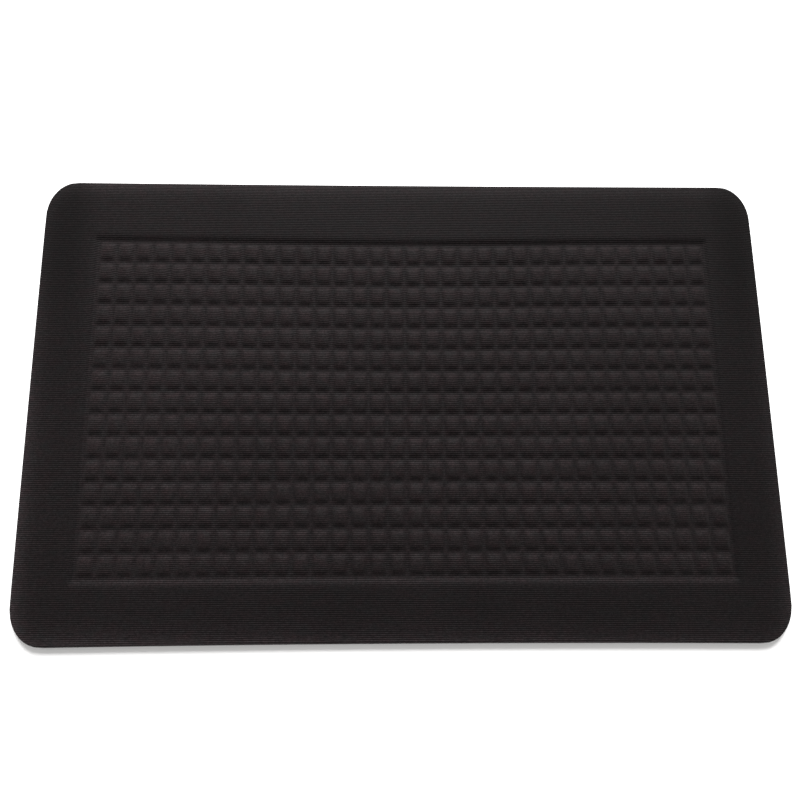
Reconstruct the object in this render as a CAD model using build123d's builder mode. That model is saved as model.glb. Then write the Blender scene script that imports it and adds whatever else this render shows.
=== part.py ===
from build123d import *
import os

# Cushioned door mat: a ribbed cloth face, heat-pressed with a grid of raised
# blocks, over a foam core and a rubber backing. Millimetres, +Z up, origin on
# the floor under the middle of the mat, +X along the long side.

# ---- driving dimensions -------------------------------------------------
mat_width = 800.0  # along X
mat_depth = 500.0  # along Y
corner_x = 34.0  # the rounded corner's half-axis along X
corner_y = 42.0  # the rounded corner's half-axis along Y

backing_thickness = 2.0
film_thickness = 0.2
core_thickness = 3.4
cloth_thickness = 4.2

columns = 34  # blocks along X
rows = 15  # blocks along Y
column_pitch = 19.92
row_pitch = 24.1
grid_shift_x = 2.8  # the pressed grid sits slightly off the mat's middle
grid_shift_y = -2.6
groove_depth = 3.0
groove_floor_x = 1.3  # flat bottom of a groove between two columns
groove_mouth_x = 6.1  # the same groove where it opens at the top
groove_floor_y = 1.7  # flat bottom of a groove between two rows
groove_mouth_y = 13.2

lip_height = 3.7  # top of the thin pressed rim
roll_width = 18.0  # how far the rim's rounded edge reaches inwards
core_inset = 5.0  # foam stops this far inside the rim
core_bevel = 15.0  # the foam's edge tapers over this width

grip_columns = 30  # square pads moulded in the rubber's underside, along X
grip_rows = 18  # the same along Y
grip_pitch = 25.0
grip_groove_width = 3.0
grip_groove_depth = 0.7

# ---- heights that follow ------------------------------------------------
film_base = backing_thickness
core_base = film_base + film_thickness
core_top = core_base + core_thickness
cloth_base = core_top + film_thickness
mat_top = cloth_base + cloth_thickness
groove_floor_z = mat_top - groove_depth


def mat_outline(inset):
    """The mat's plan shape, moved in by inset all round: straight sides, elliptical corners."""
    centre_x = mat_width / 2 - corner_x
    centre_y = mat_depth / 2 - corner_y
    edge_x = mat_width / 2 - inset
    edge_y = mat_depth / 2 - inset
    round_x = corner_x - inset
    round_y = corner_y - inset
    with BuildSketch(Plane.XY) as plan:
        with BuildLine():
            Line((edge_x, -centre_y), (edge_x, centre_y))
            EllipticalCenterArc((centre_x, centre_y), round_x, round_y, 0, arc_size=90)
            Line((centre_x, edge_y), (-centre_x, edge_y))
            EllipticalCenterArc((-centre_x, centre_y), round_x, round_y, 90, arc_size=90)
            Line((-edge_x, centre_y), (-edge_x, -centre_y))
            EllipticalCenterArc((-centre_x, -centre_y), round_x, round_y, 180, arc_size=90)
            Line((-centre_x, -edge_y), (centre_x, -edge_y))
            EllipticalCenterArc((centre_x, -centre_y), round_x, round_y, 270, arc_size=90)
        make_face()
    return plan.sketch


def stepped_slab(levels):
    """A solid lofted through (inset, height) levels of the plan shape, straight between them."""
    plans = [(mat_outline(inset), height) for inset, height in levels]
    with BuildPart() as slab:
        for plan, height in plans:
            with BuildSketch(Plane.XY.offset(height)):
                add(plan)
        loft(ruled=True)
    return slab.part


def groove_profile(mouth, floor):
    """One groove's section, open at the top: a trapezoid with its flat end down."""
    with BuildSketch(Plane.XY) as section:
        with BuildLine():
            Polyline(
                (-mouth / 2, mat_top),
                (-floor / 2, groove_floor_z),
                (floor / 2, groove_floor_z),
                (mouth / 2, mat_top),
                close=True,
            )
        make_face()
    return section.sketch


# ---- levels of the rounded edge, from the rim up -------------------------
cloth_levels = [
    (0, backing_thickness),
    (0, lip_height),
    (roll_width * 0.13, lip_height + (mat_top - lip_height) * 0.45),
    (roll_width * 0.42, lip_height + (mat_top - lip_height) * 0.82),
    (roll_width, mat_top),
]
core_levels = [
    (core_inset, core_base),
    (core_inset, core_base + film_thickness),
    (core_inset + core_bevel, core_top),
]
film_levels = [
    (core_inset - film_thickness, core_base),
    (core_inset - film_thickness, core_base + 2 * film_thickness),
    (core_inset + core_bevel - film_thickness, cloth_base),
]
film_hollow_levels = [(core_inset - film_thickness, film_base)] + film_levels[1:]

# ---- rubber backing: a plain sheet with a waffle of grip grooves below ----
grip_width = grip_columns * grip_pitch + grip_groove_width
grip_depth = grip_rows * grip_pitch + grip_groove_width
sheet_plan = mat_outline(0)
with BuildPart() as rubber_backing:
    with BuildSketch(Plane.XY):
        add(sheet_plan)
    extrude(amount=backing_thickness)
    with BuildSketch(Plane.XY):
        with GridLocations(grip_pitch, 0, grip_columns + 1, 1):
            Rectangle(grip_groove_width, grip_depth)
        with GridLocations(0, grip_pitch, 1, grip_rows + 1):
            Rectangle(grip_width, grip_groove_width)
    extrude(amount=grip_groove_depth, mode=Mode.SUBTRACT)
rubber_backing.part.label = "rubber_backing"

# ---- lower bonding film: glues the foam to the rubber ---------------------
film_plan = mat_outline(core_inset - film_thickness)
with BuildPart() as lower_bonding_film:
    with BuildSketch(Plane.XY.offset(film_base)):
        add(film_plan)
    extrude(amount=film_thickness)
lower_bonding_film.part.label = "lower_bonding_film"

# ---- foam core: a slab whose edge tapers down to the rim ------------------
core_slab = stepped_slab(core_levels)
with BuildPart() as foam_core:
    add(core_slab)
foam_core.part.label = "foam_core"

# ---- upper bonding film: a skin over the foam's top and tapered edge ------
film_slab = stepped_slab(film_levels)
with BuildPart() as upper_bonding_film:
    add(film_slab)
    add(core_slab, mode=Mode.SUBTRACT)
upper_bonding_film.part.label = "upper_bonding_film"

# ---- cloth face: rounded rim, hollow for the core, grid of blocks ---------
# The outermost grooves of the grid are also the step down from the border.
grid_width = columns * column_pitch
grid_depth = rows * row_pitch
cloth_slab = stepped_slab(cloth_levels)
cloth_hollow = stepped_slab(film_hollow_levels)
column_groove = groove_profile(groove_mouth_x, groove_floor_x)
row_groove = groove_profile(groove_mouth_y, groove_floor_y)
with BuildPart() as face_cloth:
    add(cloth_slab)
    add(cloth_hollow, mode=Mode.SUBTRACT)
    with BuildSketch(Plane.XZ.offset(-grid_shift_y)):
        with Locations((grid_shift_x, 0)):
            with GridLocations(column_pitch, 0, columns + 1, 1):
                add(column_groove)
    extrude(amount=(grid_depth + groove_floor_y) / 2, both=True, mode=Mode.SUBTRACT)
    with BuildSketch(Plane.YZ.offset(grid_shift_x)):
        with Locations((grid_shift_y, 0)):
            with GridLocations(row_pitch, 0, rows + 1, 1):
                add(row_groove)
    extrude(amount=(grid_width + groove_floor_x) / 2, both=True, mode=Mode.SUBTRACT)
face_cloth.part.label = "face_cloth"

# ---- one file for each piece ---------------------------------------------
for layer in (rubber_backing, lower_bonding_film, foam_core, upper_bonding_film, face_cloth):
    export_step(layer.part, f"parts/{layer.part.label}.step")
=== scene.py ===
# %% [markdown]
# # A cushioned door mat
# The mat is a stack of five sheets: a ribbed cloth face, a bonding film, a foam core, a second
# film and a rubber backing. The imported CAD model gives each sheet's place and thickness. Here
# each one gets its real shape and finish: the soft pressed blocks and ribs on top, and the
# moulded grip pads underneath.

# %% Start: the frame and the libraries
import math

import bpy
import numpy as np
from mathutils import Euler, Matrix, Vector


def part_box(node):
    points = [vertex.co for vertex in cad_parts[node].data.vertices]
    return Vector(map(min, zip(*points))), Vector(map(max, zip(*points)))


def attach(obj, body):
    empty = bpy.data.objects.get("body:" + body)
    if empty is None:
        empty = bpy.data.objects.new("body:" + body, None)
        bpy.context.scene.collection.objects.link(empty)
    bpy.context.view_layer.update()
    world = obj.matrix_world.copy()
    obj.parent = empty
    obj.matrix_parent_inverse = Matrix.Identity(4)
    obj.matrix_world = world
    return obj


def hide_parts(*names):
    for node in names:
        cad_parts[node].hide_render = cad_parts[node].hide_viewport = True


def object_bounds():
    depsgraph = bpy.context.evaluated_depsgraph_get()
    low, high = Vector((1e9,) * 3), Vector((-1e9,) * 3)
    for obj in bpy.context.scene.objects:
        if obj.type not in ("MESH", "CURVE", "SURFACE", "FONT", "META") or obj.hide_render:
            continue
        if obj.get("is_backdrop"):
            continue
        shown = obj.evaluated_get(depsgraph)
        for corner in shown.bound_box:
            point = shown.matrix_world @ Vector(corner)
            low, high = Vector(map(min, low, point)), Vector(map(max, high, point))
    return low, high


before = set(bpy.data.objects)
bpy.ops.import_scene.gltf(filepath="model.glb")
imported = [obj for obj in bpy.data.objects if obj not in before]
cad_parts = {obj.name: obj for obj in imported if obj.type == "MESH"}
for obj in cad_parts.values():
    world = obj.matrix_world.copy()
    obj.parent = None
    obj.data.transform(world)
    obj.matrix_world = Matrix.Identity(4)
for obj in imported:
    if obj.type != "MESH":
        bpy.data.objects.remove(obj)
cad_low, cad_high = (np.array(corner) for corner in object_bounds())
print("CAD box", cad_low.round(4), cad_high.round(4))

# %% [markdown]
# ## Sizes
# Heights come from the CAD nodes' own boxes, so the visual sheets lie exactly where the solids
# do. The press grid's counts and pitches are the design's own numbers, repeated here because
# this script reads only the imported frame.

# %% Heights of the sheets and half-sizes of the plan
MM = 0.001
half_x, half_y = float(cad_high[0]), float(cad_high[1])
mat_top = float(cad_high[2])
floor_z = float(cad_low[2])
backing_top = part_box("rubber_backing")[1].z
core_low, core_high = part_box("foam_core")
film_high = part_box("upper_bonding_film")[1]
glue_low, glue_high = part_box("lower_bonding_film")
film = glue_high.z - glue_low.z  # thickness of one bonding film
print("backing", backing_top, "core", core_low.z, core_high.z, "cloth", film_high.z, mat_top)

# %% The rounded corner, the rolled rim and the press grid
corner_x, corner_y = 34 * MM, 42 * MM
nose_drop, nose_width = 4.9 * MM, 3.0 * MM  # the short round nose of the edge
fall_drop, fall_width = 1.9 * MM, 10.5 * MM  # the long gentle fall before it
core_bevel = 15 * MM  # width of the foam's tapered edge

columns, rows = 34, 15
column_pitch, row_pitch = 19.92 * MM, 24.1 * MM
grid_shift = np.array([2.8, -2.6]) * MM  # the die sat a little off the middle
press_depth = 3.0 * MM
column_reach, column_power = 3.7 * MM, 2.2  # how far a groove between columns spreads, and its curve
row_reach, row_power = 4.8 * MM, 2.25  # the same between rows
rng = np.random.default_rng(34)

# %% [markdown]
# ## The plan: a rounded rectangle under a regular grid
# A pressed sheet is best worked out on a grid, because the press works along X and Y. But the
# mat's corners are round. The way round that is a grid that is regular in the middle and
# bends only in the four corner zones, where a square patch is mapped onto a quarter ellipse.

# %% Corner mapping
def corner_centre(x, y):
    """The nearest point of the inner rectangle that joins the four corner centres."""
    cx = np.clip(x, -(half_x - corner_x), half_x - corner_x)
    cy = np.clip(y, -(half_y - corner_y), half_y - corner_y)
    return cx, cy


def rounded(x, y):
    """Square patch to quarter ellipse: a goes to a * sqrt(1 - b*b/2), and b to b * sqrt(1 - a*a/2)."""
    cx, cy = corner_centre(x, y)
    a, b = (x - cx) / corner_x, (y - cy) / corner_y
    return cx + corner_x * a * np.sqrt(1 - b * b / 2), cy + corner_y * b * np.sqrt(1 - a * a / 2)


def inset_of(x, y):
    """How far in from the rim a point lies: the inset i at which it meets the outline whose
    corners have half-axes (corner_x - i, corner_y - i). Found by halving the range 24 times."""
    cx, cy = corner_centre(x, y)
    px, py = np.abs(x - cx), np.abs(y - cy)
    low, high = np.zeros_like(x), np.full_like(x, min(corner_x, corner_y) - 1e-5)
    for _ in range(24):
        middle = (low + high) / 2
        outside = (px / (corner_x - middle)) ** 2 + (py / (corner_y - middle)) ** 2 > 1
        high = np.where(outside, middle, high)
        low = np.where(outside, low, middle)
    return (low + high) / 2


def ring(x, y, inset):
    """Moves rim points inwards: each keeps its corner centre and its direction from it."""
    cx, cy = corner_centre(x, y)
    return (
        cx + (x - cx) / corner_x * (corner_x - inset),
        cy + (y - cy) / corner_y * (corner_y - inset),
    )


# %% [markdown]
# ## How the mat lies
# A real mat doesn't lie dead square. It was cut a little skew, its long edges draw in by one or
# two millimetres at the middle, and its far rows of blocks sag by three. These could be sculpted
# by hand. One small formula is surer, because every sheet takes it and they stay bonded together.

# %% How the mat lies
skew = -0.0073  # sideways shift for each metre of depth
middle_depth = 0.998  # the depth at the mat's middle, as a share of the nominal one
waist_far, waist_near = 0.0040, 0.0092  # how much deeper the two long edges lie at their ends
belly = 0.0010  # how much the short edges swell
trim = 0.0012  # the mat was cut narrower by this share, all of it at the left
sag, sag_width = 3.2 * MM, 0.19  # how far the far rows hang towards the near side, and how widely
sag_start, sag_ramp = -0.02, 0.04  # where along y the sag sets in, and over what length
sag_end = 0.22  # the share of the half depth over which it is gone again before the far edge


def as_it_lies(x, y):
    """x * (1 + belly * (1 - v*v)) + trim * (half_x - x) + skew * y, and y * (middle_depth + waist * u*u)
    less the hang, for u, v from -1 to 1. The hang is sag * exp(-(x / sag_width)**2) * along, where
    along is 1 / (1 + exp(-(y - sag_start) / sag_ramp)), times (1 - v) / sag_end near the far edge."""
    u, v = x / half_x, y / half_y
    along = 1 / (1 + np.exp(-(y - sag_start) / sag_ramp)) * np.clip((1 - v) / sag_end, 0, 1)
    hang = sag * np.exp(-((x / sag_width) ** 2)) * along
    waist = np.where(y > 0, waist_far, waist_near)
    new_x = x * (1 + belly * (1 - v * v)) + trim * (half_x - x) + skew * y
    return new_x, y * (middle_depth + waist * u * u) - hang


# %% [markdown]
# ## One recipe for every sheet
# Each sheet has a shaped face, a rim and a plain back. The face is a height over the grid. The
# back is a few rings, carried from the face's edge round the rim and in to the middle, where
# they close on one point. So each sheet is one closed surface, and no face is stray.

# %% Sheets as closed surfaces
def closed_sheet(name, xs, ys, height, back, face_up=True):
    """Face: z = height(x, y) over the bent grid. Back: rings at (inset, z), then the last ring
    scaled towards the middle. face_up=False turns the sheet over, with its shaped face down."""
    nx, ny = len(xs), len(ys)
    gx, gy = rounded(*np.meshgrid(xs, ys))
    gz = height(gx, gy)
    index = np.arange(nx * ny).reshape(ny, nx)
    edge = np.concatenate([index[0, :-1], index[:-1, -1], index[-1, :0:-1], index[:0:-1, 0]])
    n = len(edge)
    ex, ey = gx.ravel()[edge], gy.ravel()[edge]
    rings = [np.stack([*ring(ex, ey, inset), np.full(n, z)], 1) for inset, z in back]
    inner = rings[-1]
    rings += [inner * [share, share, 1] for share in (0.8, 0.55, 0.25)]
    pole = np.array([[0, 0, inner[0, 2]]])
    face = np.stack([gx, gy, gz], -1).reshape(-1, 3)
    points = np.concatenate([face, *rings, pole])

    quads = np.stack([index[:-1, :-1], index[:-1, 1:], index[1:, 1:], index[1:, :-1]], -1).reshape(-1, 4)
    starts = nx * ny + n * np.arange(len(rings))
    loops = [edge] + [start + np.arange(n) for start in starts]
    bands = [
        np.stack([lower, np.roll(lower, -1), np.roll(upper, -1), upper], 1)
        for upper, lower in zip(loops, loops[1:])
    ]
    last = loops[-1]
    fan = np.stack([np.full(n, len(points) - 1), np.roll(last, -1), last], 1)
    faces = [*np.concatenate([quads, *bands]).tolist(), *fan.tolist()]
    if not face_up:
        faces = [f[::-1] for f in faces]

    points[:, 0], points[:, 1] = as_it_lies(points[:, 0], points[:, 1])
    mesh = bpy.data.meshes.new(name)
    mesh.from_pydata(points, [], faces)
    mesh.polygons.foreach_set("use_smooth", np.ones(len(faces), bool))
    mesh.update()
    piece = bpy.data.objects.new(name, mesh)
    bpy.context.scene.collection.objects.link(piece)
    print(name, len(points), "points,", len(faces), "faces")
    return piece, len(face)


def keep(piece, name, values):
    """Stores one number for each point, for the material to read."""
    attribute = piece.data.attributes.new(name, "FLOAT", "POINT")
    attribute.data.foreach_set("value", np.asarray(values, np.float32))


# %% [markdown]
# ## The press
# A hot steel die presses the felt. Each groove is a soft valley, and a block is what stands
# between four of them. Felt springs back, so a groove has no flat floor and no corner: its depth
# fades with distance like a bell curve. Multiplying the curve across the mat by the one along it
# gives pillows with rounded corners, which no chain of bevels gives so simply. No two blocks
# spring back quite alike, so each one ends up to a tenth lower than the die would leave it.

# %% The press
def stands(t, count, pitch, reach, power):
    """How high the cloth stands at t, from 0 in a groove to 1: 1 - exp(-(d / reach) ** power), where
    d is the distance to the nearest of count + 1 grooves. Also whether t is between the outer two."""
    line = np.clip(np.round(t / pitch + count / 2), 0, count) - count / 2
    d = np.abs(t - line * pitch)
    return 1 - np.exp(-((d / reach) ** power)), np.abs(t) < count * pitch / 2


low_blocks = rng.uniform(0, 0.10, (rows, columns))
print("blocks", low_blocks.size, "mean lowness", low_blocks.mean().round(3))


def lowness(x, y):
    """How much lower than a full block the one at (x, y) stands: low_blocks at its row and column,
    which are the whole parts of the distance from the grid's corner over the pitch."""
    column = np.floor((x - grid_shift[0]) / column_pitch + columns / 2).astype(int)
    row = np.floor((y - grid_shift[1]) / row_pitch + rows / 2).astype(int)
    return low_blocks[np.clip(row, 0, rows - 1), np.clip(column, 0, columns - 1)]


def press(x, y):
    """Share of the full height: across * along * (1 - lowness) for a block. Outside the grid it is
    1 - (1 - across) * (1 - along), or across or along alone beside it. The third result is how hot
    the cloth got: 1 in the grid, gone just past its left and right, later past its far and near."""
    across, in_x = stands(x - grid_shift[0], columns, column_pitch, column_reach, column_power)
    along, in_y = stands(y - grid_shift[1], rows, row_pitch, row_reach, row_power)
    beside_x = np.where(in_x, 0, across)
    beside_y = np.where(in_y, 0, along)
    border = 1 - (1 - beside_x) * (1 - beside_y)
    block = np.where(in_x & in_y, across * along * (1 - lowness(x, y)), 0)
    return block, border, (1 - beside_x) ** 3 * (1 - beside_y**3)


# %% [markdown]
# Felt over foam is never quite flat. A few slow waves, a tenth of a millimetre high, keep the
# light from lying on it as it would on a machined plate. The cut edge needs a shape too: a short
# round nose, and before it a long gentle fall where the foam tapers away.

# %% Slow unevenness, the edge, and the height of the cloth
wave_height = 0.06 * MM
waves = rng.uniform(-1, 1, (7, 4)) * [26, 34, math.pi, 1]  # radians for each metre, phase, height


def unevenness(x, y):
    """wave_height times the sum of a * sin(kx * x + ky * y + phase) over the seven waves."""
    total = sum(a * np.sin(kx * x + ky * y + phase) for kx, ky, phase, a in waves)
    return wave_height * total


def edge_drop(inset):
    """nose_drop * (1 - inset / nose_width) ** 2, plus fall_drop * exp(-(inset / fall_width) ** 2)."""
    nose = 1 - np.clip(inset / nose_width, 0, 1)
    return nose_drop * nose**2 + fall_drop * np.exp(-((inset / fall_width) ** 2))


def cloth_height(x, y):
    """mat_top - press_depth * (1 - block - border) - edge_drop, plus the unevenness, which is calmed
    to nothing at the rim by 1 - exp(-inset / 8 mm)."""
    block, border, _ = press(x, y)
    inset = inset_of(x, y)
    calm = 1 - np.exp(-inset / (8 * MM))
    return mat_top - press_depth * (1 - block - border) - edge_drop(inset) + calm * unevenness(x, y)


# %% [markdown]
# ## Grid lines
# The grid is closest where the cloth bends most: at the rim, and on both sides of each groove.
# On the flat tops it can be wide.

# %% Lines for the cloth
def lines(half, shift, count, pitch, steps, rim_steps):
    """Rim lines, then the same few lines round every groove, then the rim's again. A line that
    comes nearer than 0.08 mm to the one before it is dropped."""
    grooves = (np.arange(count + 1) - count / 2) * pitch + shift
    near = (grooves[:, None] + np.concatenate([-np.array(steps[:0:-1]), steps]) * MM).ravel()
    edge = half - np.array(rim_steps) * MM
    found = np.unique(np.concatenate([near, edge, -edge]).round(7))
    keep_line = np.concatenate([[True], np.diff(found) > 0.08 * MM])
    return found[keep_line]


rim_steps = [0, 0.1, 0.35, 0.75, 1.3, 1.95, 2.7, 4.0, 6.0, 8.5, 11.5, 15, 19, 25, 36]
cloth_xs = lines(half_x, grid_shift[0], columns, column_pitch, [0, 1.0, 2.2, 3.6, 5.6, 9.96], rim_steps)
cloth_ys = lines(half_y, grid_shift[1], rows, row_pitch, [0, 1.2, 2.6, 4.1, 5.8, 8.0, 12.0], rim_steps)
print("cloth grid", len(cloth_xs), "by", len(cloth_ys))

# %% [markdown]
# ## Face cloth
# On the real mat this is one sheet of needle-punched felt, with its face drawn up into fine
# ribs. It is pressed down to little more than a millimetre in the grooves and at the rim.

# %% Make the face cloth
core_inset = half_x - core_high.x
glue_inset = half_x - glue_high.x
cloth_back = [
    (0, backing_top),
    (glue_inset, backing_top),
    (glue_inset, core_low.z + 2 * film),
    (glue_inset + core_bevel, film_high.z),
]
face_cloth, face_points = closed_sheet("face_cloth_felt", cloth_xs, cloth_ys, cloth_height, cloth_back)

# %% What the cloth's finish needs to know
# How much painted glow the rim gets, how high on a block, how hot the press, how steeply it faces
# the far side, and how much painted shade the side borders get. The rim's painted glow of light is
# strongest at the near and left sides, and fades over the first few millimetres in from the rim.
# The block's height carries a painted groove shade, and the far-facing slope a painted highlight
# where the cloth faces the lamp. The side borders' painted shade lies only beside the grid, and
# grows towards the far end.
grid_x, grid_y = (g.ravel() for g in rounded(*np.meshgrid(cloth_xs, cloth_ys)))
block, _, heated = press(grid_x, grid_y)
u, v = grid_x / half_x, grid_y / half_y
# Painted light: the rim's glow is made strongest at the near and left sides.
rim_glow_strength = 1.08 - 0.42 * u - 0.53 * v + 0.24 * v * v
rim = rim_glow_strength * np.exp(-inset_of(grid_x, grid_y) / (8 * MM))
beside = np.clip((np.abs(grid_x - grid_shift[0]) - columns * column_pitch / 2) / (30 * MM), 0, 1)
# Painted shade on the side borders, growing towards the far end.
side_border_shade = beside * np.clip((v + 0.25) / 0.85, 0, 1) ** 2
# The far-facing slope, for a painted highlight where the cloth faces the lamp.
step = 0.4 * MM
fall = (cloth_height(grid_x, grid_y - step) - cloth_height(grid_x, grid_y + step)) / (2 * step)
beyond = len(face_cloth.data.vertices) - face_points
for name, values, back_value in (
    ("rim", rim, 1.0),
    ("groove_shade_mask", block, 0.0),
    ("heated", heated, 0.0),
    ("lamp_side_highlight", np.clip(fall, 0, 0.8), 0.0),
    ("side_border_shade", side_border_shade, 0.0),
):
    keep(face_cloth, name, np.concatenate([values, np.full(beyond, back_value)]))
    print(name, values.min().round(3), "to", values.max().round(3))

# %% [markdown]
# ## Rubber backing
# The backing is a moulded rubber sheet. Its underside has square grip pads with narrow grooves
# between them, which let grit and water away and keep the mat from sliding.

# %% Make the rubber backing
grip_columns, grip_rows, grip_pitch = 30, 18, 25 * MM
grip_half, grip_depth, grip_side = 1.1 * MM, 0.7 * MM, 0.5 * MM  # half a groove's floor, its depth, its side
edge_lift = 0.5 * MM


def grip_groove(t, count):
    """1 in a groove and 0 on a pad: 1 - s*s*(3 - 2*s), where s runs from 0 to 1 over the side."""
    line = np.clip(np.round(t / grip_pitch + count / 2), 0, count) - count / 2
    s = np.clip((np.abs(t - line * grip_pitch) - grip_half) / grip_side, 0, 1)
    return 1 - s * s * (3 - 2 * s)


def grip_height(x, y):
    """floor_z, plus grip_depth in the grooves of a square grid, plus edge_lift * exp(-inset / edge_lift)
    for a slightly rounded edge."""
    reach_x = grip_columns * grip_pitch / 2 + grip_half + grip_side
    reach_y = grip_rows * grip_pitch / 2 + grip_half + grip_side
    within = (np.abs(x) < reach_x) & (np.abs(y) < reach_y)
    groove = np.maximum(grip_groove(x, grip_columns), grip_groove(y, grip_rows))
    edge = edge_lift * np.exp(-inset_of(x, y) / edge_lift)
    return floor_z + grip_depth * np.where(within, groove, 0) + edge


grip_steps = [0, 1.1, 1.35, 1.6, 12.5]
backing_rim = [0, 0.3, 0.8, 1.6, 4, 10, 20]
backing_xs = lines(half_x, 0, grip_columns, grip_pitch, grip_steps, backing_rim)
backing_ys = lines(half_y, 0, grip_rows, grip_pitch, grip_steps, backing_rim)
rubber_backing, _ = closed_sheet(
    "rubber_backing_sheet", backing_xs, backing_ys, grip_height,
    [(0, backing_top - 0.4 * MM), (0, backing_top)], face_up=False,
)

# %% [markdown]
# ## Foam core and bonding films
# The foam gives the mat its spring. It is cut with a tapered edge, so that the cloth can roll
# down to the rubber without a step. Two thin films of hot-melt glue hold the stack together.
# All three are plain, and lie wholly inside the cloth and the rubber.

# %% Sheets made of rings
def ringed_sheet(name, levels):
    """One closed surface through (inset, z) rings, and closed on the middle above and below. It is
    listed from the middle of the upper side outwards, then round and back to the middle."""
    n = 240
    angle = np.linspace(0, 2 * math.pi, n, endpoint=False)
    ux, uy = np.cos(angle), np.sin(angle)
    rim_x = np.sign(ux) * (half_x - corner_x) + corner_x * ux
    rim_y = np.sign(uy) * (half_y - corner_y) + corner_y * uy
    outer = [np.stack([*ring(rim_x, rim_y, inset), np.full(n, z)], 1) for inset, z in levels]
    loops = [outer[0] * [share, share, 1] for share in (0.5, 0.9)] + outer
    loops += [outer[-1] * [share, share, 1] for share in (0.9, 0.5)]
    points = np.concatenate([[[0, 0, levels[0][1]]], *loops, [[0, 0, levels[-1][1]]]])
    at = 1 + np.arange(n * len(loops)).reshape(len(loops), n)
    turned = np.roll(at, -1, 1)
    bands = np.stack([at[1:], turned[1:], turned[:-1], at[:-1]], -1).reshape(-1, 4)
    first_fan = np.stack([np.zeros(n, int), at[0], turned[0]], 1)
    last_fan = np.stack([np.full(n, len(points) - 1), turned[-1], at[-1]], 1)
    points[:, 0], points[:, 1] = as_it_lies(points[:, 0], points[:, 1])
    mesh = bpy.data.meshes.new(name)
    mesh.from_pydata(points, [], [*bands.tolist(), *first_fan.tolist(), *last_fan.tolist()])
    mesh.update()
    piece = bpy.data.objects.new(name, mesh)
    bpy.context.scene.collection.objects.link(piece)
    print(name, len(points), "points on", len(loops), "rings")
    return piece


# %% Make the foam core and the two films
foam_core = ringed_sheet("foam_core_pad", [
    (core_inset + core_bevel, core_high.z),
    (core_inset, core_low.z + film),
    (core_inset, core_low.z),
])
lower_film = ringed_sheet("lower_film_sheet", [
    (glue_inset, glue_high.z),
    (glue_inset, glue_low.z),
])
upper_film = ringed_sheet("upper_film_skin", [
    (glue_inset + core_bevel, film_high.z),
    (glue_inset, core_low.z + 2 * film),
    (glue_inset, core_low.z),
    (core_inset, core_low.z),
    (core_inset, core_low.z + film),
    (core_inset + core_bevel, core_high.z),
])

# %% [markdown]
# ## Finishes
# Each finish is worked out in the mat's own coordinates, so it stays put from every side. The
# felt needs four scales: blotches of several centimetres, patches of dye of one centimetre, ribs
# and tufts of a few millimetres, and fibres finer than that. The ribs are too fine for the mesh.
# They are a height for the bump and also a shade for the colour, because a rib's valley holds
# shadow that a bump alone doesn't give.

# %% Node helpers
def new_material(name, **sockets):
    """A material with one Principled shader, its constant values set on its own sockets."""
    material = bpy.data.materials.new(name)
    material.use_nodes = True
    shader = material.node_tree.nodes["Principled BSDF"]
    for socket, value in sockets.items():
        shader.inputs[socket.replace("_", " ")].default_value = value
    return material, material.node_tree, shader


def node(tree, kind, inputs=(), **settings):
    """Adds a node. inputs are values or other nodes' sockets, in the order of its own sockets."""
    made = tree.nodes.new("ShaderNode" + kind)
    for name, value in settings.items():
        setattr(made, name, value)
    for socket, value in (inputs.items() if isinstance(inputs, dict) else enumerate(inputs)):
        if isinstance(value, bpy.types.NodeSocket):
            tree.links.new(value, made.inputs[socket])
        elif value is not None:
            made.inputs[socket].default_value = value
    return made


def math_node(tree, operation, *values):
    """One sum, product, sine or other step of arithmetic."""
    return node(tree, "Math", values, operation=operation).outputs[0]


def noise(tree, vector, scale, detail=2.0, roughness=0.5):
    """Cloudy noise from about 0.3 to 0.7, with scale waves to a metre."""
    inputs = {"Vector": vector, "Scale": scale, "Detail": detail, "Roughness": roughness}
    return node(tree, "TexNoise", inputs).outputs["Fac"]


def mix_colour(tree, factor, a, b):
    """From colour a at 0 to colour b at 1."""
    return node(tree, "Mix", {0: factor, 6: a, 7: b}, data_type="RGBA").outputs[2]


def stretched(tree, vector, scale):
    """The place times a scale for each axis, which draws a pattern out along the smallest."""
    return node(tree, "Mapping", {"Vector": vector, "Scale": scale}).outputs[0]


def times(tree, a, b):
    return math_node(tree, "MULTIPLY", a, b)


def amount(tree, base, value, gain):
    """base + gain * value."""
    return math_node(tree, "MULTIPLY_ADD", value, gain, base)


def tinted(tree, colour, factor, tint):
    """The colour, multiplied by the tint as far as factor says."""
    made = node(tree, "Mix", {0: factor, 6: colour, 7: tint}, data_type="RGBA", blend_type="MULTIPLY")
    return made.outputs[2]


def bump(tree, height, strength, distance, under=None):
    """A bump on top of another one, if given."""
    inputs = {"Strength": strength, "Distance": distance, "Height": height, "Normal": under}
    return node(tree, "Bump", inputs).outputs[0]


# %% [markdown]
# The felt is nearly black, so much of what is seen of it is the soft gloss of its fibres. That
# gloss is why the border looks paler on the lamp's side. The slopes that face the far side, towards
# the lamp, are painted paler: a painted highlight. Heat has turned the pressed field paler than the
# border. The tops of the blocks are painted a little paler and warmer, so the grooves between them
# read darker: painted groove shade. The rim is painted paler too, most of all on the near and left
# sides: a painted glow of light along the edge. The two side borders are painted darker towards
# the far end: painted shade. The whole felt is painted a little paler towards the left end, as if
# lit more from that side. The fibres come in a warm and a cool dye, never mixed quite evenly.

# %% Ribbed felt
rib_pitch = 2.05 * MM


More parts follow.
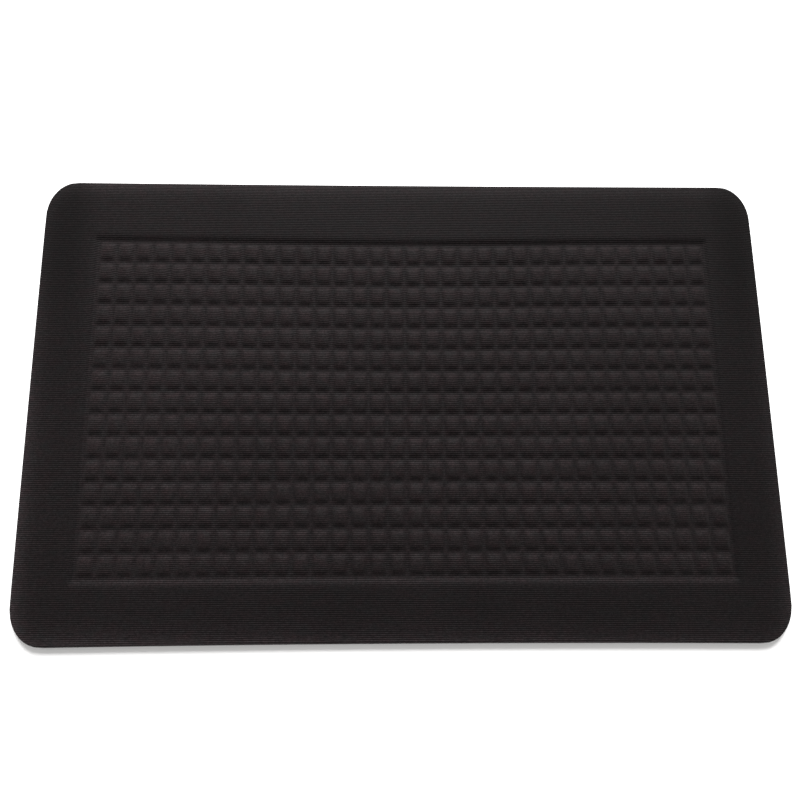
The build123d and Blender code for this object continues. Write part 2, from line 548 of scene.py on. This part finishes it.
def make_felt():
    """Ribs: |sin(pi * y / pitch)|, with y wandering by a hair, shades valley to crest. Then the
    colour is multiplied by tints for the two dyes (as far as 2.2 dyes - 0.6), for the press's heat
    and for a block's top (a painted groove shade), and by (0.78 + 0.44 blotch) * (3.1 fibre - 0.55)
    * (0.4 + 1.2 tuft) * (1 + 1.5 rim) * (1 + 0.45 nap) * (1 - 0.5 brushed) * (1 - 0.33 x). The last
    four are painted light: a glow along the rim, a highlight on slopes facing the lamp, shade on the
    side borders' far ends and a paler left end."""
    material, tree, shader = new_material(
        "ribbed_felt", Roughness=0.65, Specular_IOR_Level=0.035,
        Sheen_Weight=0.035, Sheen_Roughness=0.5, Sheen_Tint=(1.0, 0.93, 0.92, 1),
    )
    place = node(tree, "TexCoord").outputs["Object"]
    split = node(tree, "SeparateXYZ", [place]).outputs
    drift = noise(tree, stretched(tree, place, (45, 90, 90)), 1.0)
    wander = times(tree, drift, 0.9 * MM)
    phase = times(tree, math_node(tree, "ADD", split["Y"], wander), math.pi / rib_pitch)
    rib = math_node(tree, "ABSOLUTE", math_node(tree, "SINE", phase))
    fibre = noise(tree, stretched(tree, place, (700, 1500, 1500)), 1.0, 3.0, 0.7)
    tuft = noise(tree, stretched(tree, place, (260, 420, 420)), 1.0, 2.0)
    dyes = noise(tree, stretched(tree, place, (90, 130, 130)), 1.0, 3.0, 0.6)
    blotch = noise(tree, place, 9.0, 3.0)
    rim, groove_shade_mask, heated, lamp_side_highlight, side_border_shade = (
        node(tree, "Attribute", attribute_name=name).outputs["Fac"]
        for name in ("rim", "groove_shade_mask", "heated", "lamp_side_highlight", "side_border_shade")
    )

    colour = mix_colour(tree, rib, (0.0002, 0.0001, 0.0001, 1), (0.0072, 0.0067, 0.0070, 1))
    colour = tinted(tree, colour, amount(tree, -0.6, dyes, 2.2), (1.22, 0.89, 0.92, 1))
    colour = tinted(tree, colour, heated, (1.37, 1.37, 1.37, 1))
    # Painted groove shade: block tops are lifted and warmed, so the grooves between them read darker.
    colour = tinted(tree, colour, groove_shade_mask, (1.14, 1.09, 1.08, 1))
    shade = times(tree, amount(tree, 0.78, blotch, 0.44), amount(tree, -0.55, fibre, 3.1))
    shade = times(tree, shade, amount(tree, 0.4, tuft, 1.2))
    # Painted light: a glow along the rim, strongest at the near and left sides.
    shade = times(tree, shade, amount(tree, 1.0, rim, 1.5))
    # Painted highlight: slopes that face the lamp on the far side are made paler.
    shade = times(tree, shade, amount(tree, 1.0, lamp_side_highlight, 0.45))
    # Painted shade: the side borders are darker towards the far end.
    shade = times(tree, shade, amount(tree, 1.0, side_border_shade, -0.5))
    # Painted light: the felt is paler towards the left end, as if lit more from that side.
    shade = times(tree, shade, amount(tree, 1.0, split["X"], -0.33))
    shaded = node(tree, "VectorMath", {0: colour, 3: shade}, operation="SCALE").outputs[0]
    tree.links.new(shaded, shader.inputs["Base Color"])

    fuzz = bump(tree, fibre, 0.6, 0.14 * MM)
    soft = bump(tree, tuft, 0.5, 0.25 * MM, fuzz)
    tree.links.new(bump(tree, rib, 0.7, 0.4 * MM, soft), shader.inputs["Normal"])
    return material


# %% Rubber, foam and film
def make_rubber():
    """Matt black rubber: a fine pebble, slightly greyer where it is scuffed."""
    material, tree, shader = new_material("grip_rubber", Roughness=0.62, Specular_IOR_Level=0.4)
    place = node(tree, "TexCoord").outputs["Object"]
    scuff = noise(tree, place, 22.0, 5.0, 0.6)
    colour = mix_colour(tree, scuff, (0.010, 0.010, 0.0105, 1), (0.026, 0.0255, 0.025, 1))
    tree.links.new(colour, shader.inputs["Base Color"])
    pebble = node(tree, "TexVoronoi", {"Vector": place, "Scale": 900.0}).outputs["Distance"]
    tree.links.new(bump(tree, pebble, 0.35, 0.15 * MM), shader.inputs["Normal"])
    return material


def make_foam():
    """Closed-cell foam: dark grey, with cells a third of a millimetre across."""
    material, tree, shader = new_material("closed_cell_foam", Roughness=0.85, Specular_IOR_Level=0.3)
    place = node(tree, "TexCoord").outputs["Object"]
    cells = node(tree, "TexVoronoi", {"Vector": place, "Scale": 2800.0}).outputs["Distance"]
    colour = mix_colour(tree, cells, (0.05, 0.05, 0.052, 1), (0.12, 0.12, 0.122, 1))
    tree.links.new(colour, shader.inputs["Base Color"])
    tree.links.new(bump(tree, cells, 0.5, 0.1 * MM), shader.inputs["Normal"])
    return material


def make_film():
    """Hot-melt film: milky and slightly cloudy."""
    material, tree, shader = new_material("hot_melt_film", Roughness=0.45, Specular_IOR_Level=0.45)
    place = node(tree, "TexCoord").outputs["Object"]
    cloudy = noise(tree, place, 30.0, 3.0)
    colour = mix_colour(tree, cloudy, (0.62, 0.61, 0.57, 1), (0.78, 0.77, 0.73, 1))
    tree.links.new(colour, shader.inputs["Base Color"])
    return material


felt, rubber, foam, film_finish = make_felt(), make_rubber(), make_foam(), make_film()
face_cloth.data.materials.append(felt)
rubber_backing.data.materials.append(rubber)
foam_core.data.materials.append(foam)
lower_film.data.materials.append(film_finish)
upper_film.data.materials.append(film_finish)
print("finishes", [felt.name, rubber.name, foam.name, film_finish.name])

# %% [markdown]
# ## Which sheet stands for which solid
# The mat has no joints, so everything rides on its one body. The cloth is a sheet that is glued
# down all over. Each sheet takes the place of its solid, which is hidden.

# %% Ride and replace
for piece, cad_node, finish in (
    (face_cloth, "face_cloth", "ribbed_cloth"),
    (rubber_backing, "rubber_backing", "backing_rubber"),
    (foam_core, "foam_core", "foam"),
    (lower_film, "lower_bonding_film", "bonding_film"),
    (upper_film, "upper_bonding_film", "bonding_film"),
):
    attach(piece, "root")
    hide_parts(cad_node)
print("declared", face_cloth.name, "as a sheet and", foam_core.name, "as padded")

# %% [markdown]
# ## Studio
# A pale floor, one large soft lamp low beyond the far side and a bright even sky. The lamp's slant
# is what draws the blocks: their far sides catch it and their near sides don't. The sky keeps
# those from going black, and the mat's own shadow soft.

# %% Floor
def make_floor():
    """A square, a hair below the mat so that the two don't share a plane."""
    size, z = 4.0, floor_z - 0.2 * MM
    mesh = bpy.data.meshes.new("floor")
    corners = [(-size, -size, z), (size, -size, z), (size, size, z), (-size, size, z)]
    mesh.from_pydata(corners, [], [(0, 1, 2, 3)])
    floor = bpy.data.objects.new("floor", mesh)
    bpy.context.scene.collection.objects.link(floor)
    material, _, _ = new_material("pale_floor", Base_Color=(0.93, 0.93, 0.93, 1), Roughness=0.9)
    mesh.materials.append(material)
    floor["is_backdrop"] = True
    print("floor", 2 * size, "m across, just under the mat")


make_floor()


# %% Lamp and sky
def lamp(name, place, size, power):
    """A round lamp that points at the middle of the mat."""
    data = bpy.data.lights.new(name, "AREA")
    data.shape, data.size, data.energy = "DISK", size, power
    made = bpy.data.objects.new(name, data)
    bpy.context.scene.collection.objects.link(made)
    made.location = place
    made.rotation_euler = (-Vector(place)).to_track_quat("-Z", "Y").to_euler()
    print(name, "at", place, "power", power)


lamp("key", (0.12, 2.93, 2.06), 1.9, 340.0)
world = bpy.data.worlds.new("sky")
bpy.context.scene.world = world
world.use_nodes = True
sky = world.node_tree.nodes["Background"]
sky.inputs["Color"].default_value = (1.0, 0.99, 0.98, 1)
sky.inputs["Strength"].default_value = 0.6

# %% [markdown]
# ## Camera
# The mat is seen from almost straight above, from about arm's length, with a short lens. That is
# why its near edge looks so much longer than its far one.

# %% Camera
camera_data = bpy.data.cameras.new("camera")
camera_data.sensor_width = 36
camera_data.lens = 25.97
camera = bpy.data.objects.new("camera", camera_data)
bpy.context.scene.collection.objects.link(camera)
camera.location = (-0.0138, -0.0982, 0.6196)
camera.rotation_euler = Euler([math.radians(a) for a in (9.105, -1.004, -0.112)])
bpy.context.scene.camera = camera
bpy.context.scene.view_settings.view_transform = "Standard"
bpy.context.scene.view_settings.look = "None"
print("camera", camera_data.lens, "mm, at", tuple(camera.location))
